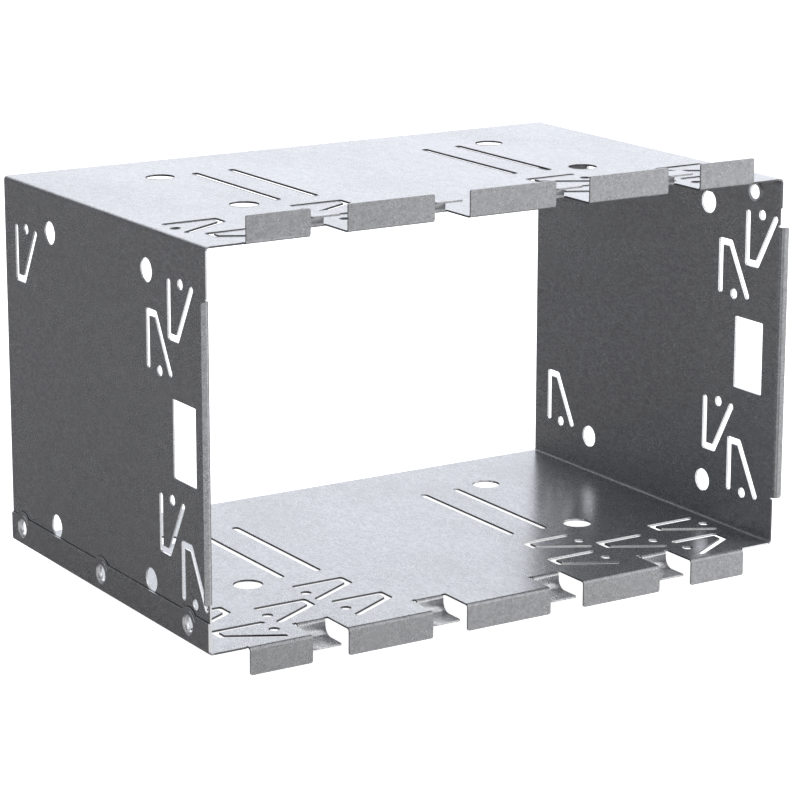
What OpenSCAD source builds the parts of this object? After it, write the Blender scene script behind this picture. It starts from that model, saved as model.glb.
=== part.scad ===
// Mounting cage for a double-height car radio.
// Two identical folded steel halves, turned half a turn about the depth axis and joined at two corners.
// Millimetres. Front faces -Y, width along X, +Z up.

/* [Cage] */
// Width over the outer faces of the two side plates
cage_width = 182; // [178:0.5:188]
// Height over the outer faces of the top and bottom plates
cage_height = 106; // [103:0.5:112]
// Depth from the free front edges to the rear edges
cage_depth = 118; // [114:0.5:150]
// Thickness of the steel sheet
sheet = 0.5; // [0.4:0.05:0.9]
// Inside radius of every right-angle fold
fold_radius = 0.6; // [0.4:0.1:1.2]

/* [Front tabs and side lips] */
// How far the front faces of tabs and side lips stand ahead of the free edges
front_reach = 1.2; // [0.9:0.1:1.6]
// Height of the front tabs beyond the top and bottom plates
tab_height = 7; // [5:0.5:9]
// Width of the middle tab
middle_tab = 27; // [24:0.5:30]
// Width of the two tabs beside the middle one
inner_tab = 26; // [23:0.5:28]
// Width of the two end tabs
end_tab = 18.5; // [14:0.5:20]
// Width of the notch between two tabs
notch_width = 11; // [9:0.5:12]
// Depth of the notch behind the free front edge
notch_depth = 10; // [9:0.5:11]
// Length of the lip along each side plate
side_lip_length = 78.5; // [70:0.5:82]
// Width of the side lip beyond the outer face of its side plate
side_lip_width = 2.05; // [1.8:0.05:3]
// Radius of the free corners of tabs, lips and tongues
corner_radius = 0.6; // [0.4:0.1:0.8]

/* [Curved spring tongues] */
// Width of the curved tongue inside each notch
tongue_width = 8.4; // [6.5:0.1:8.6]
// Distance from the plate to the near face of the tongue's lip
tongue_drop = 3.9; // [3.4:0.1:5]
// Radius of the hollow curve that leads into the lip
tongue_curve = 2.8; // [1.8:0.1:2.9]
// Distance of the lip's front edge behind the free front edge
tongue_setback = 0.3; // [0:0.1:2]

/* [Overlap flange and its three collars] */
// Height of the overlap flange
overlap_height = 8.5; // [7.5:0.1:9]
// Radius of the round ear at each collar
ear_radius = 4.7; // [4.5:0.1:5.4]
// Distance of the collars from the outer face of the folded-over plate
collar_height = 5.3; // [4.7:0.1:5.5]
// Distance of the first collar from the free front edge
collar_start = 11; // [9:0.5:14]
// Distance between the first two collars
collar_step = 50; // [40:0.5:50]
// Distance of the last collar from the rear edge
collar_end = 7; // [6:0.5:12]
// Bore of the drawn collars
collar_bore = 4; // [3.2:0.1:4.2]
// Wall of the drawn collars
collar_wall = 0.5; // [0.4:0.05:0.7]
// Rounding of the collar's mouth
mouth_radius = 0.6; // [0.5:0.05:0.9]
// Radial clearance of the collars in the side plate
collar_clearance = 0.1; // [0.05:0.05:0.2]

/* [Holes and windows] */
// Diameter of the large side holes
side_hole = 6.6; // [5:0.1:7]
// Distance of the large side holes from the top and bottom
side_hole_edge = 11.5; // [11.2:0.1:12]
// Distance of the front large side holes from the free front edge
side_hole_start = 32; // [31:0.5:33]
// Distance between front and rear large side holes
side_hole_step = 57; // [50:0.5:58]
// Diameter of the large holes in the top and bottom plates
plate_hole = 8.3; // [6:0.1:9]
// Distance of those holes to each side of the middle
plate_hole_side = 55; // [53:0.5:60]
// Distance of the front pair from the free front edge
plate_hole_start = 45; // [43:0.5:48]
// Distance between the front and rear pair
plate_hole_step = 48; // [40:0.5:50]
// Width of the window in each side plate
window_width = 12.5; // [10:0.5:13]
// Height of the window in each side plate
window_height = 21; // [16:0.5:22]
// Distance of the window from the free front edge
window_start = 6; // [5:0.5:7]
// Width of the long slots in the top and bottom plates
slot_width = 2.2; // [1.6:0.1:3]
// Length of the long slots
slot_length = 48.5; // [40:0.5:50]
// Distance of the long slots' front ends from the free front edge
slot_start = 45.3; // [43:0.1:48]
// Distance of the inner long slots to each side of the middle
slot_inner = 32.4; // [28:0.1:34]
// Distance of the outer long slots to each side of the middle
slot_outer = 44; // [42:0.1:46]

/* [Bend-out tongues] */
// Width of the cut around each bend-out tongue
cut_width = 2; // [1.4:0.1:2.2]
// Length of each bend-out tongue
cut_length = 14.1; // [12:0.1:15]
// Distance from the pilot hole to the straight leg
straight_leg = 6.2; // [5.5:0.1:6.4]
// Distance from the pilot hole to the open end of the slanting leg
slanting_leg = 5.9; // [5.2:0.1:6]
// Distance from the pilot hole to the closed end of the slanting leg
narrow_end = 1.8; // [1.2:0.1:2.4]
// Diameter of the pilot hole
pilot_hole = 3; // [2.4:0.1:3.2]

/* [Hidden] */
$fn = 24;
fold_outer = fold_radius + sheet;
half_width = cage_width / 2;
front_face = -front_reach;
fold_start = front_face + fold_outer;
end_gap = 0.2;
relief = 0.5;
collar_radius = collar_bore / 2;
collar_outer = collar_radius + collar_wall;
rim_thickness = 0.4;
collar_depth = 2 * sheet + rim_thickness;
rim_radius = collar_outer + 0.6;
mouth = collar_radius + mouth_radius;
pilot_ahead = 0.4;
end_extra = 0.04;
window_corner = 0.5;
centre_y = (cage_depth + front_face) / 2;
lip_bottom = (cage_height - side_lip_length) / 2;
collars = [collar_start, collar_start + collar_step, cage_depth - collar_end];

// Tab layout to each side of the middle: ends of the middle tab, the inner tab and the end tab.
inner_from = middle_tab / 2 + notch_width;
inner_to = inner_from + inner_tab;
end_from = inner_to + notch_width;
end_to = end_from + end_tab;
tabs = [[-end_to, -end_from], [-inner_to, -inner_from], [-middle_tab / 2, middle_tab / 2],
    [inner_from, inner_to], [end_from, end_to]];
notches = [-inner_to - notch_width / 2, -middle_tab / 2 - notch_width / 2,
    middle_tab / 2 + notch_width / 2, inner_to + notch_width / 2];

// Pilot holes of the top plate: distance from the side, distance from the free front edge,
// and whether the closed end points to the middle (1) or to the side (-1).
plate_cuts = [[45.7, 30.2, 1], [27.5, 19.2, 1], [48.3, 13.6, 1], [5, 25, 1], [23.5, 8.6, -1]];
// Pilot holes of the side plate: distance from the free front edge, distance above the middle height,
// and whether the closed end points down (1) or up (-1).
side_cuts = [[13.5, 41, 1], [25.3, 16.3, -1], [19.5, -16.7, 1], [7.6, -41.5, -1], [104.2, 40, 1]];

// One stroke of a cut. Its round ends are a hair wider, so that they cross its sides.
module stroke(x0, y0, x1, y1, w) {
    length = sqrt(pow(x1 - x0, 2) + pow(y1 - y0, 2));
    translate([x0, y0]) circle(d = w + end_extra, $fn = 16);
    translate([x1, y1]) circle(d = w + end_extra, $fn = 16);
    translate([x0, y0])
        rotate(atan2(y1 - y0, x1 - x0))
            translate([0, -w / 2]) square([length, w]);
}

// Cut around one bend-out tongue: pilot hole at the origin, closed end towards -Y, straight leg on +X.
module tongue_outline() {
    closed = -pilot_ahead - cut_length;
    stroke(straight_leg, -pilot_ahead, straight_leg, closed, cut_width);
    stroke(straight_leg, closed, narrow_end, closed, cut_width);
    stroke(narrow_end, closed, -slanting_leg, -pilot_ahead, cut_width);
    circle(d = pilot_hole, $fn = 20);
}

// Rectangle with rounded corners, lower left corner at the origin.
module round_rect(w, h, r) {
    translate([r, 0]) square([w - 2 * r, h]);
    translate([0, r]) square([w, h - 2 * r]);
    for (x = [r, w - r], y = [r, h - r])
        translate([x, y]) circle(r = r, $fn = 16);
}

// Quarter of a ring about the origin, between the angles a and a + 90.
module quarter_ring(inner, outer, a) {
    rotate(a)
        intersection() {
            difference() {
                circle(r = outer);
                circle(r = inner);
            }
            square([outer, outer]);
        }
}

// Everything punched through the top plate, drawn in x and y about the middle of the plate.
module plate_openings() {
    for (side = [-1, 1]) {
        for (c = plate_cuts)
            translate([side * (half_width - c[0]), c[1]])
                if (side * c[2] > 0)
                    mirror([1, 0]) rotate(90) tongue_outline();
                else
                    rotate(90) tongue_outline();
        for (row = [0, 1])
            translate([side * plate_hole_side, plate_hole_start + row * plate_hole_step])
                circle(d = plate_hole, $fn = 32);
        for (x = [slot_inner, slot_outer])
            stroke(side * x, slot_start + slot_width / 2,
                side * x, slot_start + slot_length - slot_width / 2, slot_width);
    }
}

// Everything punched through the side plate, drawn in y and z.
module side_openings() {
    for (c = side_cuts)
        translate([c[0], cage_height / 2 + c[1]])
            if (c[2] > 0)
                tongue_outline();
            else
                mirror([0, 1]) tongue_outline();
    for (column = [0, 1], z = [side_hole_edge, cage_height - side_hole_edge])
        translate([side_hole_start + column * side_hole_step, z]) circle(d = side_hole, $fn = 32);
    translate([window_start, (cage_height - window_height) / 2])
        round_rect(window_width, window_height, window_corner);
    for (y = collars)
        translate([y, collar_height])
            circle(r = collar_outer + collar_clearance);
}

// Cross-section of one half in x and z: side plate, fold, top plate, fold, overlap flange.
module half_section() {
    flange_outer = half_width + sheet;
    translate([-half_width, fold_outer + end_gap])
        square([sheet, cage_height - 2 * fold_outer - end_gap]);
    translate([-half_width + fold_outer, cage_height - fold_outer])
        quarter_ring(fold_radius, fold_outer, 90);
    translate([-half_width + fold_outer, cage_height - sheet])
        square([half_width + flange_outer - 2 * fold_outer, sheet]);
    translate([flange_outer - fold_outer, cage_height - fold_outer])
        quarter_ring(fold_radius, fold_outer, 0);
    translate([half_width, cage_height - overlap_height])
        square([sheet, overlap_height - fold_outer]);
}

// Round ears of the overlap flange, drawn in y and z.
module ears() {
    for (y = collars)
        translate([y, cage_height - collar_height])
            intersection() {
                circle(r = ear_radius, $fn = 32);
                translate([-ear_radius, -ear_radius])
                    square([2 * ear_radius, ear_radius + collar_height - fold_outer]);
            }
}

// Folded section of a front tab, drawn in y and z.
module tab_section() {
    translate([fold_start, cage_height - sheet]) square([1, sheet]);
    translate([fold_start, cage_height - sheet + fold_outer])
        quarter_ring(fold_radius, fold_outer, 180);
    translate([front_face, cage_height - sheet + fold_outer])
        square([sheet, tab_height + sheet - fold_outer]);
}

// Folded section of a curved tongue, drawn in y and z: up, round the hollow curve, forward.
module tongue_section() {
    curve_z = cage_height + tongue_drop - tongue_curve;
    wall_y = notch_depth - fold_outer;
    translate([notch_depth, cage_height - sheet]) square([1, sheet]);
    translate([notch_depth, cage_height - sheet + fold_outer])
        quarter_ring(fold_radius, fold_outer, 180);
    translate([wall_y, cage_height - sheet + fold_outer])
        square([sheet, curve_z - cage_height + sheet - fold_outer]);
    translate([wall_y - tongue_curve, curve_z])
        quarter_ring(tongue_curve, tongue_curve + sheet, 0);
    translate([tongue_setback, curve_z + tongue_curve])
        square([wall_y - tongue_curve - tongue_setback, sheet]);
}

// Folded section of the side lip, drawn in x and y.
module side_lip_section() {
    fold_x = -half_width + sheet - fold_outer;
    translate([-half_width, fold_start]) square([sheet, 1]);
    translate([fold_x, fold_start]) quarter_ring(fold_radius, fold_outer, 270);
    translate([-half_width - side_lip_width, front_face])
        square([fold_x + half_width + side_lip_width, sheet]);
}

// Sheet removed from the front edges: notches, fold lines of the tabs and of the side lip, relief cuts.
module front_cuts() {
    for (x = notches)
        translate([x - notch_width / 2, -1, cage_height - sheet - 1])
            linear_extrude(sheet + 2)
                square([notch_width, notch_depth + 1]);
    for (t = tabs)
        translate([t[0], -1, cage_height - sheet - 1])
            cube([t[1] - t[0], fold_start + 1, sheet + 2]);
    for (x = [-end_to - relief, end_to])
        translate([x, -1, cage_height - sheet - 1])
            cube([relief, fold_start + relief + 1, sheet + 2]);
    translate([-half_width - 1, -1, lip_bottom])
        cube([sheet + 2, fold_start + 1, side_lip_length]);
    for (z = [lip_bottom - relief, lip_bottom + side_lip_length])
        translate([-half_width - 1, -1, z])
            cube([sheet + 2, fold_start + relief + 1, relief]);
}

module front_tabs() {
    for (t = tabs)
        translate([t[0], 0, 0])
            intersection() {
                rotate([90, 0, 90]) linear_extrude(t[1] - t[0]) tab_section();
                translate([0, fold_start + 2, cage_height - 3])
                    rotate([90, 0, 0])
                        linear_extrude(fold_start + 4)
                            round_rect(t[1] - t[0], tab_height + 3, corner_radius);
            }
}

module spring_tongues() {
    for (x = notches)
        translate([x - tongue_width / 2, 0, 0])
            intersection() {
                rotate([90, 0, 90]) linear_extrude(tongue_width) tongue_section();
                translate([0, tongue_setback, cage_height - 2])
                    linear_extrude(tongue_drop + 4)
                        round_rect(tongue_width, notch_depth + 2, corner_radius);
            }
}

module side_lip() {
    intersection() {
        translate([0, 0, lip_bottom]) linear_extrude(side_lip_length) side_lip_section();
        translate([-half_width - side_lip_width, fold_start + 2, lip_bottom])
            rotate([90, 0, 0])
                linear_extrude(fold_start + 4)
                    round_rect(side_lip_width + 3, side_lip_length, corner_radius);
    }
}

// One drawn collar: the flange is drawn through the side plate and its rim is rolled over inside.
module collar_body() {
    rotate_extrude() {
        translate([collar_radius - 0.2, sheet / 2])
            square([collar_wall + 0.2, collar_depth - sheet / 2]);
        translate([collar_radius - 0.2, 2 * sheet])
            square([rim_radius - collar_radius + 0.2, rim_thickness]);
    }
}

// Bore of a collar with its rounded mouth and rounded inner end.
module collar_bore_cut() {
    rotate_extrude() {
        translate([0, -1]) square([collar_radius, collar_depth + 2]);
        difference() {
            translate([0, -1]) square([mouth, mouth_radius + 1]);
            translate([mouth, mouth_radius]) circle(r = mouth_radius, $fn = 16);
        }
        difference() {
            translate([0, collar_depth - rim_thickness])
                square([collar_radius + rim_thickness, rim_thickness + 1]);
            translate([collar_radius + rim_thickness, collar_depth - rim_thickness])
                circle(r = rim_thickness, $fn = 16);
        }
    }
}

// Places its children at the three collars, with depth measured inwards from the flange's outer face.
module at_collars() {
    for (y = collars)
        translate([half_width + sheet, y, cage_height - collar_height])
            rotate([0, -90, 0]) children();
}

// One folded half: left side plate, top plate and the overlap flange on the right.
module folded_half() {
    difference() {
        union() {
            difference() {
                union() {
                    translate([0, cage_depth, 0])
                        rotate([90, 0, 0]) linear_extrude(cage_depth) half_section();
                    translate([half_width, 0, 0])
                        rotate([90, 0, 90]) linear_extrude(sheet) ears();
                }
                front_cuts();
                translate([0, 0, cage_height - sheet - 1])
                    linear_extrude(sheet + 2) plate_openings();
                translate([-half_width - 1, 0, 0])
                    rotate([90, 0, 90]) linear_extrude(sheet + 2) side_openings();
            }
            at_collars() collar_body();
            front_tabs();
            spring_tongues();
            side_lip();
        }
        at_collars() collar_bore_cut();
    }
}

module upper_left_half() {
    color("silver")
        translate([0, -centre_y, tab_height]) folded_half();
}

module lower_right_half() {
    color("lightgray")
        translate([0, -centre_y, tab_height + cage_height])
            rotate([0, 180, 0]) folded_half();
}

upper_left_half();
lower_right_half();
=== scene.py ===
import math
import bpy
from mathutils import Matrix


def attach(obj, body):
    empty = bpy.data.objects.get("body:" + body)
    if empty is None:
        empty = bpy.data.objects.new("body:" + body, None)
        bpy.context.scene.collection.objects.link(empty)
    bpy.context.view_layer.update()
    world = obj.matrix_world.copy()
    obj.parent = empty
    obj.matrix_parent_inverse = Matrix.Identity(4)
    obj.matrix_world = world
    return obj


bl_info = {
    "name": "Double-height radio cage",
    "version": (1, 0, 0),
    "blender": (4, 5, 0),
    "location": "View3D > Sidebar > Radio cage",
    "description": "Zinc finishes, punching burrs, joint lines and a studio for a folded steel radio cage",
    "category": "Object",
}

import bpy
from mathutils import Matrix, Vector

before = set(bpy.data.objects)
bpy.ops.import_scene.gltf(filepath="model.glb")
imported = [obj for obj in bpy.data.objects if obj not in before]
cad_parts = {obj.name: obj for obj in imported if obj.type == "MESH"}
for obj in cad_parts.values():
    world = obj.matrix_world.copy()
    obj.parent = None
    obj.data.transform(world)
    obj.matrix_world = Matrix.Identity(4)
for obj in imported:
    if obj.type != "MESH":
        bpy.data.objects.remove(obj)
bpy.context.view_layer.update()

MM = 0.001
HALVES = ("upper", "lower")

# Sizes of the cage in millimetres, as in the part's source. On the upper half x runs from the
# middle, y from the free front edges and z from the underside of the lower plate.
CAGE_HEIGHT = 106.0
CAGE_DEPTH = 118.0
HALF_WIDTH = 91.0
SHEET = 0.5

# Where the free front edges and the underside of the lower plate are in the frame.
ROW_Y = -58.4
ROW_Z = 7.0

# The cut round a bend-out tongue, along its middle and from the pilot hole beside it.
TONGUE_PATH = [(6.2, -0.4), (6.2, -14.5), (1.8, -14.5), (-5.9, -0.4)]
CUT_WIDTH = 2.0
PILOT_HOLE = 3.0

# The top plate's pilot holes in x and y, with 1 where the tongue points to the middle.
PLATE_CUTS = [(45.3, 30.2, 1), (63.5, 19.2, 1), (42.7, 13.6, 1), (86.0, 25.0, 1), (67.5, 8.6, -1)]

# The side plate's pilot holes in y and z, with 1 where the tongue points down.
SIDE_CUTS = [(13.5, 94.0, 1), (25.3, 69.3, -1), (19.5, 36.3, 1), (7.6, 11.5, -1), (104.2, 93.0, 1)]

# Round holes with their widths, long slots from y to y, and the window from (y, z) to (y, z).
PLATE_HOLES = [(55.0, 45.0), (55.0, 93.0)]
PLATE_HOLE = 8.3
SLOT_X = [32.4, 44.0]
SLOT_Y = (46.4, 92.7)
SLOT_WIDTH = 2.2
SIDE_HOLES = [(32.0, 11.5), (89.0, 11.5), (32.0, 94.5), (89.0, 94.5)]
SIDE_HOLE = 6.6
WINDOW = (6.0, 42.5, 18.5, 63.5)

# The overlap flange and its collars, with heights from the plate that the flange hangs on.
FLANGE_HEIGHT = 8.5
COLLAR_Y = [11.0, 61.0, 111.0]
COLLAR_HEIGHT = 5.3
EAR_RADIUS = 4.7
COLLAR_MOUTH = 2.65

# The angle between the points of a round stretch, in radians.
HOLE_STEP = 0.3
EAR_STEP = 0.15
CRESCENT_STEP = 0.12

# The sides of a bead's cross section. Burrs, joint lines and crescents are all beads.
BEAD_SIDES = 6

# A burr stands on the sheet by a share of its radius, changes its width in waves of this many
# metres, and stays this many millimetres from the flange.
BURR_RISE = 0.2
BURR_WAVE = 0.0011
BURR_SEED = 3.0
FLANGE_MARGIN = 0.3

# A joint line stands out by a share of its radius, stops this many millimetres from the sheet's
# ends, and changes its width by a share and in waves of this many metres.
SEAM_RISE = 0.55
SEAM_STOP = 0.15
SEAM_UNEVENNESS = 0.5
SEAM_WAVE = 0.004
SEAM_SEED = 11.0

# The crescents on an ear, which are painted highlights: the radius of each, and the degrees between which it
# lies, turned from the front towards the flange's free edge. The rest is as for a joint line.
CRESCENTS = ((EAR_RADIUS - 0.75, 25, 75), (COLLAR_MOUTH + 0.15, 150, 290))
CRESCENT_RISE = 0.15
CRESCENT_UNEVENNESS = 0.5
CRESCENT_WAVE = 0.002
CRESCENT_SEED = 21.0

# How far the masks of the cut walls reach in from the outer faces, how far they keep from the
# folds, and how far past a face they may reach, all in millimetres.
SIDE_WALL_REACH = 0.7
PLATE_WALL_REACH = 0.6
COLLAR_REACH = 1.5
SIDE_FOLD = 1.1
PLATE_FOLD = 1.2
WALL_SLACK = 0.05
FRONT_SLACK = 0.02

# How much of a cut wall's normal may point across the sheet.
WALL_TILT = 0.3

# The bottom plate's walls with painted light: right of this x and up to this height, in millimetres,
# with a normal that points this much backwards at most, so they face the front.
BRIGHT_X = 20.0
BRIGHT_HEIGHT = 1.0
BRIGHT_FACING = -0.4

# The zinc grain: the scales of its patches and crystals against the fine grain, and how much
# of the tone each makes against it.
PATCH_SCALE = 0.16
PATCH_PART = 0.4
CRYSTAL_SCALE = 0.55
CRYSTAL_PART = 0.35

# Handling marks: the noise between which a cloud grows, the distances at which a speck fades,
# as parts of a cell, and the part of the cells that have none.
CLOUD_RANGE = (0.3, 0.7)
SPECK_RANGE = (0.02, 0.055)
CLEAN_CELLS = 0.8

# How much rougher clouds and grain make the zinc, the height of the grain in metres, and the
# samples that the rounding of its edges takes.
CLOUD_ROUGHNESS = 0.06
GRAIN_ROUGHNESS = 0.12
GRAIN_HEIGHT = 0.00005
ROUNDING_SAMPLES = 6

# Moves the marks on the lower half, so that the two halves don't have the same ones.
LOWER_SHIFT = (0.31, 0.17, 0.23)

# The nearest and farthest that the camera sees, the sides of the floor, how far it lies below
# the cage, in metres, and how much light it adds for the camera.
CLIP_RANGE = (0.01, 50.0)
FLOOR_SIDES = 96
FLOOR_DROP = 0.0001
FLOOR_GLOW = 0.93

# The room's soft glows: where each is, the angles in degrees from there at which it is full and
# at which it ends, and its colour. Zinc mirrors them, so they shade the plates.
ROOM_GLOWS = (
    # The bright backdrop behind and to the right, and its upper end over the cage.
    ((0.60, 0.75, 0.35), 15, 58, (1.20, 1.24, 1.33)),
    ((0.35, 0.45, 0.85), 5, 54, (1.10, 1.13, 1.19)),
    # A window at the front right, a low one at the front left and a high one at the front right.
    ((0.82, -0.55, 0.12), 5, 46, (1.48, 1.49, 1.51)),
    ((-0.42, -0.87, -0.20), 5, 38, (0.90, 0.90, 0.91)),
    ((0.50, -0.45, 0.74), 5, 42, (0.90, 0.91, 0.93)),
    # The pale table below.
    ((0.30, -0.30, -1.0), 25, 62, (1.10, 1.10, 1.10)),
    # A pale wall to the left.
    ((-0.93, 0.30, -0.20), 5, 35.5, (0.90, 0.90, 0.92)),
    # Two fainter glows, low behind and at the rear left.
    ((-0.10, 0.93, -0.35), 5, 37, (0.108, 0.104, 0.104)),
    ((-0.76, 0.60, 0.28), 5, 23, (0.38, 0.41, 0.46)),
)


def in_row(half, x, y, z):
    """A point of the upper half, or of the lower one by half a turn about the depth axis, in metres."""
    if half == "lower":
        x, z = -x, CAGE_HEIGHT - z
    return Vector((x, y + ROW_Y, z + ROW_Z)) * MM


# Outlines of what is punched


def arc(cx, cy, radius, start, end, step=HOLE_STEP):
    """Points on an arc about (cx, cy), from angle start to angle end."""
    count = max(2, int(abs(end - start) / step) + 1)
    angles = [start + (end - start) * i / count for i in range(count + 1)]
    return [(cx + radius * math.cos(a), cy + radius * math.sin(a)) for a in angles]


def side_of_path(path, width):
    """Points along the left side of a bent cut, from its start to its end, with a round cap at the end."""
    points = []
    r = width / 2
    angles = [math.atan2(b[1] - a[1], b[0] - a[0]) for a, b in zip(path, path[1:])]
    for i, angle in enumerate(angles):
        a, b = path[i], path[i + 1]
        normal = angle + math.pi / 2
        if i == 0:
            points.append((a[0] + r * math.cos(normal), a[1] + r * math.sin(normal)))
        if i + 1 == len(angles):
            points += arc(b[0], b[1], r, normal, normal - math.pi)[:-1]
            break
        turn = (angles[i + 1] - angle + math.pi) % (2 * math.pi) - math.pi
        if turn < 0:
            points += arc(b[0], b[1], r, normal, normal + turn)
        else:
            middle = normal + turn / 2
            reach = r / math.cos(turn / 2)
            points.append((b[0] + reach * math.cos(middle), b[1] + reach * math.sin(middle)))
    return points


def bent_cut(path, width):
    """Closed outline of a cut of one width along a bent path."""
    return side_of_path(path, width) + side_of_path(path[::-1], width)


def round_hole(cx, cy, diameter):
    """Closed outline of a round hole."""
    return arc(cx, cy, diameter / 2, 0, 2 * math.pi)[:-1]


def plate_outlines():
    """Outlines on the top plate, in x and y."""
    loops = []
    for side in (-1, 1):
        for x, y, inward in PLATE_CUTS:
            cut = bent_cut(TONGUE_PATH, CUT_WIDTH)
            loops.append([(side * (x + inward * v), y + u) for u, v in cut])
            loops.append(round_hole(side * x, y, PILOT_HOLE))
        for x, y in PLATE_HOLES:
            loops.append(round_hole(side * x, y, PLATE_HOLE))
        for x in SLOT_X:
            loops.append(bent_cut([(side * x, y) for y in SLOT_Y], SLOT_WIDTH))
    return loops


def side_outlines():
    """Outlines on the side plate, in y and z."""
    loops = []
    for y, z, down in SIDE_CUTS:
        loops.append([(y + u, z + down * v) for u, v in bent_cut(TONGUE_PATH, CUT_WIDTH)])
        loops.append(round_hole(y, z, PILOT_HOLE))
    for y, z in SIDE_HOLES:
        loops.append(round_hole(y, z, SIDE_HOLE))
    y0, z0, y1, z1 = WINDOW
    loops.append([(y0, z0), (y1, z0), (y1, z1), (y0, z1)])
    return loops


def lines_object(name, chains):
    """A mesh of edges only, one chain of points after another. Each chain is (points, closed)."""
    points, edges = [], []
    for chain, closed in chains:
        first = len(points)
        points += [tuple(p) for p in chain]
        edges += [(first + i, first + i + 1) for i in range(len(chain) - 1)]
        if closed:
            edges.append((len(points) - 1, first))
    mesh = bpy.data.meshes.new(name)
    mesh.from_pydata(points, edges, [])
    obj = bpy.data.objects.new(name, mesh)
    bpy.context.scene.collection.objects.link(obj)
    return obj


# Nodes that several trees use


def math_node(nodes, operation, first=None, second=None, third=None, clamp=False):
    """A maths node, with those of its values that don't come from other nodes."""
    node = nodes.new("ShaderNodeMath")
    node.operation = operation
    node.use_clamp = clamp
    for socket, value in zip(node.inputs, (first, second, third)):
        if value is not None:
            socket.default_value = value
    return node


def vector_node(nodes, operation):
    """A vector maths node."""
    node = nodes.new("ShaderNodeVectorMath")
    node.operation = operation
    return node


def noise_node(nodes, scale, detail=2.0, roughness=0.5):
    """A noise texture."""
    node = nodes.new("ShaderNodeTexNoise")
    node.inputs["Scale"].default_value = scale
    node.inputs["Detail"].default_value = detail
    node.inputs["Roughness"].default_value = roughness
    return node


def range_node(nodes, low, high, to_low=0.0, to_high=1.0):
    """A soft step from to_low to to_high, between low and high."""
    node = nodes.new("ShaderNodeMapRange")
    node.interpolation_type = "SMOOTHSTEP"
    for label, value in (("From Min", low), ("From Max", high), ("To Min", to_low), ("To Max", to_high)):
        node.inputs[label].default_value = value
    return node


def group_node(nodes, group):
    """A node that runs a shader node group."""
    node = nodes.new("ShaderNodeGroup")
    node.node_tree = group
    return node


# Geometry nodes


def bead_tree():
    """Geometry nodes that lay an uneven round bead along each line of a mesh."""
    name = "Bead along lines"
    if name in bpy.data.node_groups:
        return bpy.data.node_groups[name]
    tree = bpy.data.node_groups.new(name, "GeometryNodeTree")
    face = tree.interface
    face.new_socket("Geometry", in_out="INPUT", socket_type="NodeSocketGeometry")
    for label, value in (("Bead radius", 0.0001), ("Unevenness", 0.4), ("Wave length", 0.001), ("Seed", 1.0)):
        face.new_socket(label, in_out="INPUT", socket_type="NodeSocketFloat").default_value = value
    face.new_socket("Material", in_out="INPUT", socket_type="NodeSocketMaterial")
    face.new_socket("Geometry", in_out="OUTPUT", socket_type="NodeSocketGeometry")
    nodes, link = tree.nodes, tree.links.new
    given = nodes.new("NodeGroupInput")
    result = nodes.new("NodeGroupOutput")
    curve = nodes.new("GeometryNodeMeshToCurve")
    place = nodes.new("GeometryNodeInputPosition")
    shrink = vector_node(nodes, "SCALE")
    per_wave = math_node(nodes, "DIVIDE", 1.0)
    noise = nodes.new("ShaderNodeTexNoise")
    noise.noise_dimensions = "4D"
    noise.inputs["Scale"].default_value = 1.0
    swing = math_node(nodes, "MULTIPLY_ADD")

    # The noise is about a half, so the bead is about as wide as it is asked to be.
    thinnest = math_node(nodes, "MULTIPLY_ADD", None, -0.5, 1.0)
    radius = nodes.new("GeometryNodeSetCurveRadius")
    ring = nodes.new("GeometryNodeCurvePrimitiveCircle")
    ring.inputs["Resolution"].default_value = BEAD_SIDES
    sweep = nodes.new("GeometryNodeCurveToMesh")
    sweep.inputs["Fill Caps"].default_value = True
    real = nodes.new("GeometryNodeRealizeInstances")
    smooth = nodes.new("GeometryNodeSetShadeSmooth")
    paint = nodes.new("GeometryNodeSetMaterial")
    link(given.outputs["Geometry"], curve.inputs["Mesh"])
    link(given.outputs["Wave length"], per_wave.inputs[1])
    link(place.outputs["Position"], shrink.inputs[0])
    link(per_wave.outputs[0], shrink.inputs["Scale"])
    link(shrink.outputs[0], noise.inputs["Vector"])
    link(given.outputs["Seed"], noise.inputs["W"])
    link(given.outputs["Unevenness"], thinnest.inputs[0])
    link(noise.outputs[0], swing.inputs[0])
    link(given.outputs["Unevenness"], swing.inputs[1])
    link(thinnest.outputs[0], swing.inputs[2])
    link(curve.outputs["Curve"], radius.inputs["Curve"])
    link(swing.outputs[0], radius.inputs["Radius"])
    link(given.outputs["Bead radius"], ring.inputs["Radius"])
    link(radius.outputs["Curve"], sweep.inputs["Curve"])
    link(ring.outputs["Curve"], sweep.inputs["Profile Curve"])
    link(sweep.outputs["Mesh"], real.inputs["Geometry"])
    link(real.outputs["Geometry"], smooth.inputs["Geometry"])
    link(smooth.outputs["Geometry"], paint.inputs["Geometry"])
    link(given.outputs["Material"], paint.inputs["Material"])
    link(paint.outputs["Geometry"], result.inputs["Geometry"])
    return tree


def bead_piece(name, chains, material, **values):
    """Run the bead nodes on lines and keep the result as a plain mesh that rides on the cage."""
    source = lines_object(name + "_lines", chains)
    tree = bead_tree()
    modifier = source.modifiers.new("Bead", "NODES")
    modifier.node_group = tree
    wanted = {"Material": material, **{k.replace("_", " ").capitalize(): v for k, v in values.items()}}
    for item in tree.interface.items_tree:
        if item.in_out == "INPUT" and item.name in wanted:
            modifier[item.identifier] = wanted[item.name]
    seen = source.evaluated_get(bpy.context.evaluated_depsgraph_get())
    mesh = bpy.data.meshes.new_from_object(seen)
    bpy.data.objects.remove(source)
    if not mesh.polygons:
        raise RuntimeError(f"{name} came out empty")
    mesh.name = name
    piece = bpy.data.objects.new(name, mesh)
    bpy.context.scene.collection.objects.link(piece)
    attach(piece, "root")
    return piece


# Shader groups


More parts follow.
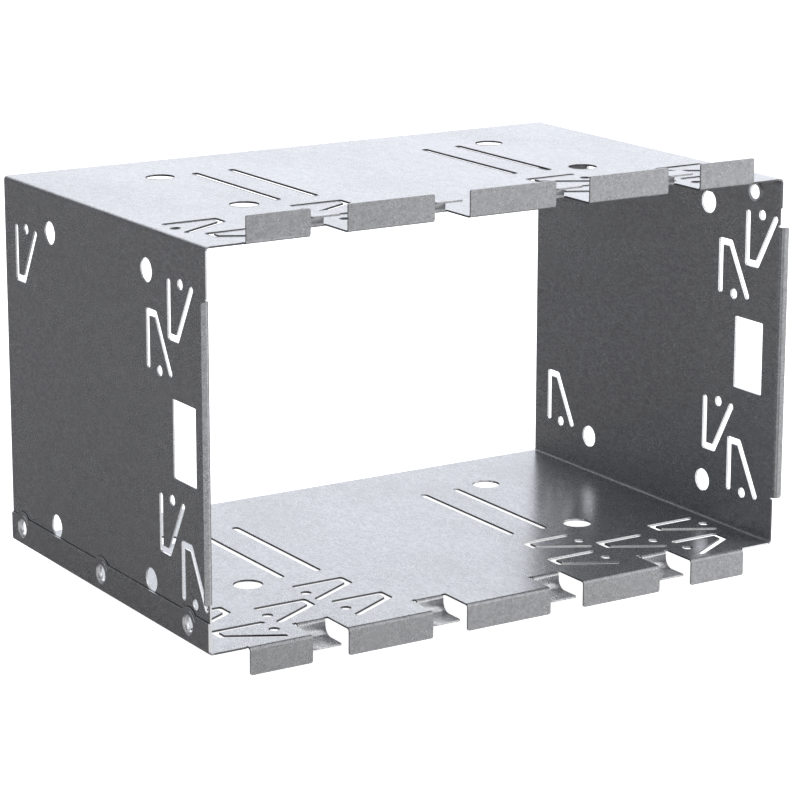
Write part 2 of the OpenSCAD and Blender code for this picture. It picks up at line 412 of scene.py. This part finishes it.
def new_group(name, inputs, outputs):
    """An empty shader node group with named inputs and outputs, and its two end nodes."""
    group = bpy.data.node_groups.new(name, "ShaderNodeTree")
    for label, kind, value in inputs:
        socket = group.interface.new_socket(label, in_out="INPUT", socket_type="NodeSocket" + kind)
        if value is not None:
            socket.default_value = value
    for label in outputs:
        group.interface.new_socket(label, in_out="OUTPUT", socket_type="NodeSocketFloat")
    return group, group.nodes.new("NodeGroupInput"), group.nodes.new("NodeGroupOutput")


def divided_by(label, group, given):
    """The Vector that a group is given, divided by one of the sizes that it is given."""
    per = math_node(group.nodes, "DIVIDE", 1.0)
    scaled = vector_node(group.nodes, "SCALE")
    group.links.new(given.outputs[label], per.inputs[1])
    group.links.new(given.outputs["Vector"], scaled.inputs[0])
    group.links.new(per.outputs[0], scaled.inputs["Scale"])
    return scaled.outputs[0]


def zinc_grain_group():
    """Fine grain of a zinc coating: a tone about 1 and a height."""
    name = "Zinc grain"
    if name in bpy.data.node_groups:
        return bpy.data.node_groups[name]
    group, given, result = new_group(
        name,
        [("Vector", "Vector", None), ("Grain size", "Float", 0.00035), ("Contrast", "Float", 0.12)],
        ["Tone", "Height"],
    )
    nodes, link = group.nodes, group.links.new
    scaled = divided_by("Grain size", group, given)
    fine = noise_node(nodes, 1.0, roughness=0.65)
    patches = noise_node(nodes, PATCH_SCALE)
    crystals = nodes.new("ShaderNodeTexVoronoi")
    crystals.inputs["Scale"].default_value = CRYSTAL_SCALE
    for node in (fine, patches, crystals):
        link(scaled, node.inputs["Vector"])
    split = nodes.new("ShaderNodeSeparateColor")
    link(crystals.outputs["Color"], split.inputs[0])
    mixed = math_node(nodes, "MULTIPLY_ADD", None, CRYSTAL_PART)
    link(split.outputs[0], mixed.inputs[0])
    link(fine.outputs[0], mixed.inputs[2])
    total = math_node(nodes, "MULTIPLY_ADD", None, PATCH_PART)
    link(patches.outputs[0], total.inputs[0])
    link(mixed.outputs[0], total.inputs[2])
    centred = math_node(nodes, "SUBTRACT", None, (1 + CRYSTAL_PART + PATCH_PART) / 2)
    link(total.outputs[0], centred.inputs[0])
    spread = math_node(nodes, "MULTIPLY", None, 2.0)
    link(given.outputs["Contrast"], spread.inputs[0])
    tone = math_node(nodes, "MULTIPLY_ADD", None, None, 1.0)
    link(centred.outputs[0], tone.inputs[0])
    link(spread.outputs[0], tone.inputs[1])
    link(tone.outputs[0], result.inputs["Tone"])
    link(fine.outputs[0], result.inputs["Height"])
    return group


def handling_group():
    """Wear of a handled sheet: cloudy patches and rare specks."""
    name = "Handling marks"
    if name in bpy.data.node_groups:
        return bpy.data.node_groups[name]
    group, given, result = new_group(
        name,
        [("Vector", "Vector", None), ("Cloud size", "Float", 0.03), ("Speck size", "Float", 0.0045)],
        ["Clouds", "Specks"],
    )
    nodes, link = group.nodes, group.links.new
    cloud = noise_node(nodes, 1.0, detail=3.0, roughness=0.55)
    link(divided_by("Cloud size", group, given), cloud.inputs["Vector"])
    soft = range_node(nodes, *CLOUD_RANGE)
    link(cloud.outputs[0], soft.inputs["Value"])
    link(soft.outputs[0], result.inputs["Clouds"])
    dots = nodes.new("ShaderNodeTexVoronoi")
    dots.inputs["Scale"].default_value = 1.0
    link(divided_by("Speck size", group, given), dots.inputs["Vector"])
    near = range_node(nodes, *SPECK_RANGE, to_low=1.0, to_high=0.0)
    link(dots.outputs["Distance"], near.inputs["Value"])
    split = nodes.new("ShaderNodeSeparateColor")
    link(dots.outputs["Color"], split.inputs[0])
    rare = math_node(nodes, "GREATER_THAN", None, CLEAN_CELLS)
    link(split.outputs[0], rare.inputs[0])
    both = math_node(nodes, "MULTIPLY")
    link(near.outputs[0], both.inputs[0])
    link(rare.outputs[0], both.inputs[1])
    link(both.outputs[0], result.inputs["Specks"])
    return group


def sheared_edge_group():
    """Mask of the sheet's sharp edges, from how far a rounded normal leaves the true one."""
    name = "Sheared edge"
    if name in bpy.data.node_groups:
        return bpy.data.node_groups[name]
    group, given, result = new_group(
        name,
        [("True normal", "Vector", None), ("Rounded normal", "Vector", None), ("Softness", "Float", 0.12)],
        ["Edge"],
    )
    nodes, link = group.nodes, group.links.new
    dot = vector_node(nodes, "DOT_PRODUCT")
    link(given.outputs["True normal"], dot.inputs[0])
    link(given.outputs["Rounded normal"], dot.inputs[1])
    away = math_node(nodes, "SUBTRACT", 1.0)
    link(dot.outputs["Value"], away.inputs[1])
    share = math_node(nodes, "DIVIDE", clamp=True)
    link(away.outputs[0], share.inputs[0])
    link(given.outputs["Softness"], share.inputs[1])
    link(share.outputs[0], result.inputs["Edge"])
    return group


def cut_wall_group():
    """Masks of the sheet's thickness where it was cut, of the collars and of the lower tongues."""
    name = "Cut walls"
    if name in bpy.data.node_groups:
        return bpy.data.node_groups[name]
    group, given, result = new_group(
        name,
        [("Position", "Vector", None), ("True normal", "Vector", None)],
        ["Side walls", "Plate walls", "Painted light walls", "Lower tongues", "Collar mouths painted light"],
    )
    nodes, link = group.nodes, group.links.new

    def parts(label):
        """The x, y and z of a vector."""
        split = nodes.new("ShaderNodeSeparateXYZ")
        link(given.outputs[label], split.inputs[0])
        return split.outputs

    def from_middle(socket, middle):
        """How far a value is above a middle value."""
        above = math_node(nodes, "SUBTRACT", None, middle)
        link(socket, above.inputs[0])
        return above.outputs[0]

    def size_of(socket):
        """A value without its sign."""
        size = math_node(nodes, "ABSOLUTE")
        link(socket, size.inputs[0])
        return size.outputs[0]

    def joined(operation, first, second):
        """Two values joined by a maths node."""
        node = math_node(nodes, operation)
        link(first, node.inputs[0])
        link(second, node.inputs[1])
        return node.outputs[0]

    def all_of(*tests):
        """1 where each of the tests holds, each given as (value, operation, limit)."""
        total = None
        for socket, operation, limit in tests:
            test = math_node(nodes, operation, None, limit)
            link(socket, test.inputs[0])
            total = test.outputs[0] if total is None else joined("MULTIPLY", total, test.outputs[0])
        return total

    edge = MM * HALF_WIDTH
    top = MM * CAGE_HEIGHT / 2
    front = MM * ROW_Y
    x, y, z = parts("Position")
    facing_x, facing_y, facing_z = parts("True normal")
    above = from_middle(z, MM * ROW_Z + top)
    across, height = size_of(x), size_of(above)
    side = all_of(
        (across, "GREATER_THAN", edge - MM * SIDE_WALL_REACH),
        (height, "LESS_THAN", top - MM * SIDE_FOLD),
        (y, "GREATER_THAN", front - MM * WALL_SLACK),
        (size_of(facing_x), "LESS_THAN", WALL_TILT),
    )
    # The right plate's front edge joins the plate walls, so it gets their painted shade.
    right_front = all_of(
        (side, "GREATER_THAN", 0.5),
        (x, "GREATER_THAN", 0.0),
        (y, "LESS_THAN", front + MM * FRONT_SLACK),
    )
    flat = all_of(
        (across, "LESS_THAN", edge - MM * PLATE_FOLD),
        (height, "GREATER_THAN", top - MM * PLATE_WALL_REACH),
        (height, "LESS_THAN", top + MM * WALL_SLACK),
        (size_of(facing_z), "LESS_THAN", WALL_TILT),
    )
    # Painted light: the bottom plate's front-facing walls right of the middle get the near-white wall colour.
    bright = all_of(
        (flat, "GREATER_THAN", 0.5),
        (x, "GREATER_THAN", MM * BRIGHT_X),
        (facing_y, "LESS_THAN", BRIGHT_FACING),
        (z, "LESS_THAN", MM * (ROW_Z + BRIGHT_HEIGHT)),
    )
    tongues = all_of(
        (z, "LESS_THAN", MM * (ROW_Z - WALL_SLACK)),
        (y, "GREATER_THAN", front),
    )

    # A collar's mouth is a disc round the nearest of the collars, which stand at even steps. It gets the
    # light wall colour as a painted highlight.
    step = MM * (COLLAR_Y[1] - COLLAR_Y[0])
    along = math_node(nodes, "WRAP", None, -step / 2, step / 2)
    link(from_middle(y, front + MM * COLLAR_Y[0]), along.inputs[0])
    offset = nodes.new("ShaderNodeCombineXYZ")
    link(along.outputs[0], offset.inputs[0])
    link(from_middle(height, top - MM * COLLAR_HEIGHT), offset.inputs[1])
    far = vector_node(nodes, "LENGTH")
    link(offset.outputs[0], far.inputs[0])
    collar = all_of(
        (far.outputs["Value"], "LESS_THAN", MM * COLLAR_MOUTH),
        (across, "GREATER_THAN", edge - MM * COLLAR_REACH),
        (joined("MULTIPLY", x, above), "GREATER_THAN", 0.0),
    )
    link(side, result.inputs["Side walls"])
    link(joined("MAXIMUM", right_front, flat), result.inputs["Plate walls"])
    link(bright, result.inputs["Painted light walls"])
    link(tongues, result.inputs["Lower tongues"])
    link(collar, result.inputs["Collar mouths painted light"])
    return group


# Materials


def mix_color(nodes, links, factor, first, second):
    """A colour mix. Each of first and second is a socket or a colour."""
    node = nodes.new("ShaderNodeMix")
    node.data_type = "RGBA"
    links.new(factor, node.inputs[0])
    for value, socket in ((first, node.inputs[6]), (second, node.inputs[7])):
        if isinstance(value, bpy.types.NodeSocket):
            links.new(value, socket)
        else:
            socket.default_value = (*value, 1.0)
    return node.outputs[2]


def empty_material(name):
    """A new material with no nodes yet."""
    material = bpy.data.materials.new(name)
    material.use_nodes = True
    material.node_tree.nodes.clear()
    return material, material.node_tree.nodes, material.node_tree.links


def zinc_material(name, shift, shade):
    """Zinc-coated sheet with grain, handling marks and light edges.

    The cut walls and the collar mouths have their own colours, with painted light and painted shade, and the
    lower tongues a lighter colour that is painted light.
    """
    look = bpy.context.scene.cage_finish
    material, nodes, links = empty_material(name)
    where = nodes.new("ShaderNodeTexCoord")
    moved = nodes.new("ShaderNodeMapping")
    moved.inputs["Location"].default_value = shift
    moved.inputs["Scale"].default_value = (1.0, 1.0 / look.grain_stretch, 1.0)
    links.new(where.outputs["Object"], moved.inputs["Vector"])
    grain = group_node(nodes, zinc_grain_group())
    grain.inputs["Grain size"].default_value = look.grain_size
    grain.inputs["Contrast"].default_value = look.grain_contrast
    links.new(moved.outputs[0], grain.inputs["Vector"])
    marks = group_node(nodes, handling_group())
    links.new(moved.outputs[0], marks.inputs["Vector"])
    rounded = nodes.new("ShaderNodeBevel")
    rounded.samples = ROUNDING_SAMPLES
    rounded.inputs["Radius"].default_value = look.edge_rounding
    surface = nodes.new("ShaderNodeNewGeometry")
    edge = group_node(nodes, sheared_edge_group())
    links.new(surface.outputs["True Normal"], edge.inputs["True normal"])
    links.new(rounded.outputs[0], edge.inputs["Rounded normal"])
    walls = group_node(nodes, cut_wall_group())
    links.new(where.outputs["Object"], walls.inputs["Position"])
    links.new(surface.outputs["True Normal"], walls.inputs["True normal"])

    cloudy = mix_color(
        nodes, links, marks.outputs["Clouds"],
        [shade * v for v in look.zinc_color], [shade * v for v in look.clouded_color],
    )
    # Painted light: the lower tongues get a lighter colour that stands in for light in their shaded hollows.
    bent = mix_color(nodes, links, walls.outputs["Lower tongues"], cloudy, look.tongue_painted_light_color)
    toned = vector_node(nodes, "SCALE")
    links.new(bent, toned.inputs[0])
    links.new(grain.outputs["Tone"], toned.inputs["Scale"])
    color = toned.outputs[0]
    for mask, laid_over in (
        (marks.outputs["Specks"], look.speck_color),
        (edge.outputs["Edge"], look.edge_color),
        # Painted light: the side walls (bare steel), the bright bottom walls and the collar mouths get a
        # near-white colour that stands in for light.
        (walls.outputs["Side walls"], look.bare_wall_painted_light_color),
        # Painted shade: the top and bottom plates' cut walls and the right plate's front edge are coloured
        # almost black to stand in for shade.
        (walls.outputs["Plate walls"], look.plate_wall_painted_shade_color),
        (walls.outputs["Painted light walls"], look.bare_wall_painted_light_color),
        (walls.outputs["Collar mouths painted light"], look.bare_wall_painted_light_color),
    ):
        color = mix_color(nodes, links, mask, color, laid_over)

    smoothest = look.zinc_roughness - CLOUD_ROUGHNESS / 2
    worn = math_node(nodes, "MULTIPLY_ADD", None, CLOUD_ROUGHNESS, smoothest)
    links.new(marks.outputs["Clouds"], worn.inputs[0])
    mottled = math_node(nodes, "MULTIPLY_ADD", None, GRAIN_ROUGHNESS)
    links.new(grain.outputs["Height"], mottled.inputs[0])
    links.new(worn.outputs[0], mottled.inputs[2])
    bump = nodes.new("ShaderNodeBump")
    bump.inputs["Strength"].default_value = look.grain_bump
    bump.inputs["Distance"].default_value = GRAIN_HEIGHT
    links.new(grain.outputs["Height"], bump.inputs["Height"])
    links.new(rounded.outputs[0], bump.inputs["Normal"])

    shader = nodes.new("ShaderNodeBsdfPrincipled")
    shader.inputs["Metallic"].default_value = look.metal_share
    links.new(color, shader.inputs["Base Color"])
    links.new(mottled.outputs[0], shader.inputs["Roughness"])
    links.new(bump.outputs[0], shader.inputs["Normal"])
    out = nodes.new("ShaderNodeOutputMaterial")
    links.new(shader.outputs[0], out.inputs["Surface"])
    return material


def trim_material(name, color, roughness, metallic, contrast):
    """Small trim: one finish with the same grain as the sheet."""
    look = bpy.context.scene.cage_finish
    material, nodes, links = empty_material(name)
    where = nodes.new("ShaderNodeTexCoord")
    grain = group_node(nodes, zinc_grain_group())
    grain.inputs["Grain size"].default_value = look.grain_size
    grain.inputs["Contrast"].default_value = contrast
    links.new(where.outputs["Object"], grain.inputs["Vector"])
    toned = vector_node(nodes, "SCALE")
    toned.inputs[0].default_value = color
    links.new(grain.outputs["Tone"], toned.inputs["Scale"])
    shader = nodes.new("ShaderNodeBsdfPrincipled")
    shader.inputs["Metallic"].default_value = metallic
    shader.inputs["Roughness"].default_value = roughness
    links.new(toned.outputs[0], shader.inputs["Base Color"])
    out = nodes.new("ShaderNodeOutputMaterial")
    links.new(shader.outputs[0], out.inputs["Surface"])
    return material


# Settings


def color_property(name, description, default):
    """A colour that a user may change."""
    return bpy.props.FloatVectorProperty(
        name=name, description=description, subtype="COLOR", size=3, min=0.0, max=1.0, default=default
    )


def length_property(name, description, default, high):
    """A length in metres, up to high."""
    return bpy.props.FloatProperty(
        name=name, description=description, unit="LENGTH", subtype="DISTANCE",
        precision=5, min=0.0, max=high, default=default,
    )


def number_property(name, description, default, low=0.0, high=1.0):
    """A plain number from low to high."""
    return bpy.props.FloatProperty(name=name, description=description, min=low, max=high, default=default)


def degrees_property(name, description, default):
    """An angle in degrees."""
    return number_property(name, description + ", in degrees", default, -180.0, 180.0)


class CageFinishSettings(bpy.types.PropertyGroup):
    zinc_color: color_property("Zinc colour", "Colour of the clean zinc coating", (0.385, 0.387, 0.396))
    clouded_color: color_property(
        "Clouded colour", "Colour where the coating has been handled", (0.367, 0.369, 0.377)
    )
    speck_color: color_property("Speck colour", "Colour of the rare dark specks", (0.12, 0.12, 0.12))
    edge_color: color_property("Edge colour", "Colour of the sheared edges", (0.52, 0.525, 0.535))
    # Bare steel with painted light: near white on the side walls, the bright bottom walls and the collar
    # mouths.
    bare_wall_painted_light_color: color_property(
        "Bare wall and painted light colour", "Colour of the bare cut thickness of the side plates, also of the bright bottom walls and collar mouths, with painted light", (0.88, 0.88, 0.89)
    )
    # Painted shade: the plates' cut walls are made almost black where they lie in shade.
    plate_wall_painted_shade_color: color_property(
        "Plate wall painted shade colour", "Near-black colour of the cut thickness of the top and bottom plates, painted shade", (0.12, 0.12, 0.125)
    )
    # Painted light: a lighter colour for the lower tongues, standing in for light in their shaded hollows.
    tongue_painted_light_color: color_property(
        "Tongue painted light colour", "Lighter colour of the lower tongues, painted light in their shade", (0.66, 0.663, 0.67)
    )
    # Painted shade: the lower half gets a darker copy of the same zinc, standing in for its shade.
    lower_shade: number_property(
        "Lower half's shade", "Darker tone of the lower half's zinc against the upper half's, painted shade", 0.95, 0.3, 1.5
    )
    zinc_roughness: number_property("Zinc roughness", "Roughness of the coating", 0.20, 0.05)
    metal_share: number_property(
        "Metal share", "Share of the light that the coating sends back as a metal does", 0.58
    )
    grain_stretch: number_property(
        "Grain stretch", "How much longer the grain is along the rolling direction", 2.0, 0.5, 5.0
    )
    grain_size: length_property("Grain size", "Size of the coating's grain", 0.00028, 0.01)
    grain_contrast: number_property("Grain contrast", "How much the grain changes the tone", 0.42)
    grain_bump: number_property("Grain bump", "How strongly the grain stands out", 0.25)
    edge_rounding: length_property(
        "Edge rounding", "Radius by which sheared edges look rounded", 0.00012, 0.002
    )


class CageTrimSettings(bpy.types.PropertyGroup):
    burr_radius: length_property(
        "Burr radius", "Half the width of the raised rim round a punched opening", 0.00007, 0.001
    )
    burr_unevenness: number_property("Burr unevenness", "Share by which the rim's width changes", 0.5)
    burr_color: color_property("Burr colour", "Colour of the raised rims", (0.50, 0.505, 0.515))
    seam_radius: length_property(
        "Joint line radius", "Half the width of the dark line along an overlap", 0.00011, 0.001
    )
    # Painted shade: the joint line's colour stands in for the shadow in the overlap's gap.
    seam_color: color_property(
        "Joint line colour", "Colour of the painted shade in the gap along an overlap", (0.012, 0.012, 0.013)
    )
    crescent_radius: length_property(
        "Painted crescent highlight radius", "Half the width of the crescents on each ear", 0.00014, 0.001
    )
    # Painted highlight: the crescents are near white to stand in for the shine of the ears' drawn dish.
    crescent_color: color_property("Painted crescent highlight colour", "Colour of the crescents", (0.92, 0.92, 0.92))


class CageStageSettings(bpy.types.PropertyGroup):
    camera_place: bpy.props.FloatVectorProperty(
        name="Camera place", description="Where the camera stands", subtype="TRANSLATION",
        unit="LENGTH", size=3, default=(-0.42756, -0.68639, 0.25713),
    )
    azimuth: degrees_property("Azimuth", "Viewing angle round the cage", -32.053)
    elevation: degrees_property("Elevation", "Viewing angle above the horizon", 12.876)
    roll: degrees_property("Roll", "Turn of the picture", 0.08)
    lens: number_property("Lens", "Focal length in millimetres", 132.61, 20.0, 400.0)
    shift_y: number_property("Shift", "Upward shift of the lens", -0.1, -1.0)
    floor_size: length_property("Floor size", "Radius of the pale floor", 1.6, 20.0)
    floor_color: color_property("Floor colour", "Colour of the floor", (0.86, 0.86, 0.86))
    room_color: color_property(
        "Room colour", "What the dark side of the room sends back", (0.070, 0.069, 0.071)
    )


# Operators


class CAGE_OT_finish_upper_half(bpy.types.Operator):
    """Give the upper left half its zinc finish"""

    bl_idname = "radio_cage.finish_upper_half"
    bl_label = "Finish upper left half"

    def execute(self, context):
        finish = zinc_material("Zinc sheet upper half", shift=(0.0, 0.0, 0.0), shade=1.0)
        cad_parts["upper_left_half"].material_slots[0].material = finish
        return {"FINISHED"}


class CAGE_OT_finish_lower_half(bpy.types.Operator):
    """Give the lower right half its zinc finish"""

    bl_idname = "radio_cage.finish_lower_half"
    bl_label = "Finish lower right half"

    def execute(self, context):
        # Painted shade: the lower half's zinc is darkened by this share.
        shade = context.scene.cage_finish.lower_shade
        finish = zinc_material("Zinc sheet lower half", shift=LOWER_SHIFT, shade=shade)
        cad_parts["lower_right_half"].material_slots[0].material = finish
        return {"FINISHED"}


class CAGE_OT_punching_burrs(bpy.types.Operator):
    """Lay the fine raised rims round every punched opening, on the outer faces of both halves"""

    bl_idname = "radio_cage.punching_burrs"
    bl_label = "Punching burrs"

    def execute(self, context):
        trim = context.scene.cage_trim
        material = trim_material("Zinc burr", trim.burr_color, roughness=0.28, metallic=1.0, contrast=0.1)
        lift = BURR_RISE * trim.burr_radius / MM
        hidden = FLANGE_HEIGHT + FLANGE_MARGIN
        for number, half in enumerate(HALVES):
            chains = []
            for loop in plate_outlines():
                chains.append(([in_row(half, x, y, CAGE_HEIGHT + lift) for x, y in loop], True))
            for loop in side_outlines():
                seen = [z > hidden for _, z in loop]
                if not any(seen):
                    continue
                if not all(seen):
                    start = next(i for i in range(len(loop)) if seen[i] and not seen[i - 1])
                    loop = [(y, z) for y, z in loop[start:] + loop[:start] if z > hidden]
                points = [in_row(half, -HALF_WIDTH - lift, y, z) for y, z in loop]
                chains.append((points, all(seen)))
            bead_piece(
                f"{half}_punching_burrs", chains, material, bead_radius=trim.burr_radius,
                unevenness=trim.burr_unevenness, wave_length=BURR_WAVE, seed=BURR_SEED + number,
            )
        return {"FINISHED"}


class CAGE_OT_overlap_seams(bpy.types.Operator):
    """Draw the dark joint line along each overlap flange and round its ears, painted shade in the gap"""

    bl_idname = "radio_cage.overlap_seams"
    bl_label = "Overlap joint lines"

    def execute(self, context):
        trim = context.scene.cage_trim
        # Painted shade: the near-black line stands in for the shadow in the gap under the flange's edge.
        material = trim_material("Joint painted shade", trim.seam_color, roughness=0.75, metallic=0.0, contrast=0.3)
        out = SEAM_RISE * trim.seam_radius / MM
        edge = FLANGE_HEIGHT + out
        radius = EAR_RADIUS + out
        spread = math.asin((edge - COLLAR_HEIGHT) / radius)
        last = CAGE_DEPTH - SEAM_STOP
        line = [(SEAM_STOP, edge)]
        for y in COLLAR_Y:
            line += arc(y, COLLAR_HEIGHT, radius, math.pi - spread, spread, EAR_STEP)
        line = [(y, z) for y, z in line if y < last] + [(last, edge)]
        for number, half in enumerate(HALVES):
            points = [in_row(half, HALF_WIDTH + out, y, CAGE_HEIGHT - z) for y, z in line]
            bead_piece(
                f"{half}_overlap_seam", [(points, False)], material, bead_radius=trim.seam_radius,
                unevenness=SEAM_UNEVENNESS, wave_length=SEAM_WAVE, seed=SEAM_SEED + number,
            )
        return {"FINISHED"}


class CAGE_OT_painted_crescent_highlights(bpy.types.Operator):
    """Lay bright crescents on each ear and round its collar, as painted highlights"""

    bl_idname = "radio_cage.draw_marks"
    bl_label = "Painted crescent highlights on the ears"

    def execute(self, context):
        trim = context.scene.cage_trim
        # Painted highlight: a near-white bead where the ear's dish would catch the light.
        material = trim_material("Painted crescent highlight", trim.crescent_color, roughness=0.3, metallic=0.2, contrast=0.1)
        out = HALF_WIDTH + SHEET + CRESCENT_RISE * trim.crescent_radius / MM
        for number, half in enumerate(HALVES):
            chains = []
            for y in COLLAR_Y:
                for radius, start, end in CRESCENTS:
                    first, last = math.radians(180 - start), math.radians(180 - end)
                    crescent = arc(y, COLLAR_HEIGHT, radius, first, last, CRESCENT_STEP)
                    chains.append(([in_row(half, out, u, CAGE_HEIGHT - v) for u, v in crescent], False))
            bead_piece(
                f"{half}_painted_crescent_highlights", chains, material, bead_radius=trim.crescent_radius,
                unevenness=CRESCENT_UNEVENNESS, wave_length=CRESCENT_WAVE, seed=CRESCENT_SEED + number,
            )
        return {"FINISHED"}


class CAGE_OT_studio(bpy.types.Operator):
    """Make the pale floor, the soft room light and the camera"""

    bl_idname = "radio_cage.studio"
    bl_label = "Studio"

    def execute(self, context):
        stage = context.scene.cage_stage
        context.scene.view_settings.view_transform = "Standard"
        self.camera(context, stage)
        self.floor(context, stage)
        self.room(context, stage)
        return {"FINISHED"}

    @staticmethod
    def camera(context, stage):
        """The camera, turned to the cage by its three angles."""
        a, e, r = (math.radians(v) for v in (stage.azimuth, stage.elevation, stage.roll))
        back = Vector((math.sin(a) * math.cos(e), -math.cos(a) * math.cos(e), math.sin(e)))
        right = Vector((0, 0, 1)).cross(back).normalized()
        up = back.cross(right)
        right, up = (
            right * math.cos(r) + up * math.sin(r),
            up * math.cos(r) - right * math.sin(r),
        )
        data = bpy.data.cameras.new("Camera")
        data.lens = stage.lens
        data.shift_y = stage.shift_y
        data.clip_start, data.clip_end = CLIP_RANGE
        camera = bpy.data.objects.new("Camera", data)
        turn = Matrix((right, up, back)).transposed().to_4x4()
        camera.matrix_world = Matrix.Translation(stage.camera_place) @ turn
        context.scene.collection.objects.link(camera)
        context.scene.camera = camera

    @staticmethod
    def floor(context, stage):
        """A round pale floor that the camera sees as white, with the cage's shadow on it."""
        step = 2 * math.pi / FLOOR_SIDES
        points = [
            (stage.floor_size * math.cos(step * i), stage.floor_size * math.sin(step * i), -FLOOR_DROP)
            for i in range(FLOOR_SIDES)
        ]
        mesh = bpy.data.meshes.new("Floor")
        mesh.from_pydata(points, [], [list(range(FLOOR_SIDES))])
        floor = bpy.data.objects.new("Floor", mesh)
        context.scene.collection.objects.link(floor)
        material, nodes, links = empty_material("Pale floor")
        matt = nodes.new("ShaderNodeBsdfDiffuse")
        matt.inputs["Color"].default_value = (*stage.floor_color, 1.0)
        glow = nodes.new("ShaderNodeEmission")
        glow.inputs["Strength"].default_value = FLOOR_GLOW
        path = nodes.new("ShaderNodeLightPath")
        both = nodes.new("ShaderNodeAddShader")
        pick = nodes.new("ShaderNodeMixShader")
        out = nodes.new("ShaderNodeOutputMaterial")
        links.new(matt.outputs[0], both.inputs[0])
        links.new(glow.outputs[0], both.inputs[1])
        links.new(path.outputs["Is Camera Ray"], pick.inputs[0])
        links.new(matt.outputs[0], pick.inputs[1])
        links.new(both.outputs[0], pick.inputs[2])
        links.new(pick.outputs[0], out.inputs["Surface"])
        mesh.materials.append(material)
        floor.visible_glossy = False

    @staticmethod
    def room(context, stage):
        """A dim room with soft glows, which the camera sees as plain white."""
        world = bpy.data.worlds.new("Room")
        context.scene.world = world
        world.use_nodes = True
        nodes, links = world.node_tree.nodes, world.node_tree.links
        nodes.clear()
        way = nodes.new("ShaderNodeTexCoord")
        total = None
        for direction, full, none, color in ROOM_GLOWS:
            dot = vector_node(nodes, "DOT_PRODUCT")
            dot.inputs[1].default_value = Vector(direction).normalized()
            links.new(way.outputs["Generated"], dot.inputs[0])
            fade = range_node(nodes, math.cos(math.radians(none)), math.cos(math.radians(full)))
            links.new(dot.outputs["Value"], fade.inputs["Value"])
            tint = vector_node(nodes, "SCALE")
            tint.inputs[0].default_value = color
            links.new(fade.outputs[0], tint.inputs["Scale"])
            add = vector_node(nodes, "ADD")
            links.new(tint.outputs[0], add.inputs[0])
            if total is None:
                add.inputs[1].default_value = stage.room_color
            else:
                links.new(total, add.inputs[1])
            total = add.outputs[0]
        room = nodes.new("ShaderNodeBackground")
        links.new(total, room.inputs["Color"])
        white = nodes.new("ShaderNodeBackground")
        white.inputs["Color"].default_value = (1.0, 1.0, 1.0, 1.0)
        path = nodes.new("ShaderNodeLightPath")
        clear = math_node(nodes, "MAXIMUM")
        links.new(path.outputs["Is Camera Ray"], clear.inputs[0])
        links.new(path.outputs["Is Transmission Ray"], clear.inputs[1])
        pick = nodes.new("ShaderNodeMixShader")
        links.new(clear.outputs[0], pick.inputs[0])
        links.new(room.outputs[0], pick.inputs[1])
        links.new(white.outputs[0], pick.inputs[2])
        out = nodes.new("ShaderNodeOutputWorld")
        links.new(pick.outputs[0], out.inputs["Surface"])


SETTINGS = {
    "cage_finish": CageFinishSettings,
    "cage_trim": CageTrimSettings,
    "cage_stage": CageStageSettings,
}
OPERATORS = (
    CAGE_OT_finish_upper_half,
    CAGE_OT_finish_lower_half,
    CAGE_OT_punching_burrs,
    CAGE_OT_overlap_seams,
    CAGE_OT_painted_crescent_highlights,
    CAGE_OT_studio,
)


class CAGE_PT_panel(bpy.types.Panel):
    """Lists the operators and their settings"""

    bl_label = "Radio cage"
    bl_idname = "CAGE_PT_panel"
    bl_space_type = "VIEW_3D"
    bl_region_type = "UI"
    bl_category = "Radio cage"

    def draw(self, context):
        for operator in OPERATORS:
            self.layout.operator(operator.bl_idname)
        for name in SETTINGS:
            settings = getattr(context.scene, name)
            column = self.layout.column()
            for setting in settings.__annotations__:
                column.prop(settings, setting)


def register():
    for item in (*SETTINGS.values(), *OPERATORS, CAGE_PT_panel):
        bpy.utils.register_class(item)
    for name, group in SETTINGS.items():
        setattr(bpy.types.Scene, name, bpy.props.PointerProperty(type=group))


def unregister():
    for name in SETTINGS:
        delattr(bpy.types.Scene, name)
    for item in (CAGE_PT_panel, *reversed(OPERATORS), *SETTINGS.values()):
        bpy.utils.unregister_class(item)


def main():
    register()
    for operator in OPERATORS:
        group, name = operator.bl_idname.split(".")
        getattr(getattr(bpy.ops, group), name)()


if __name__ == "__main__":
    main()
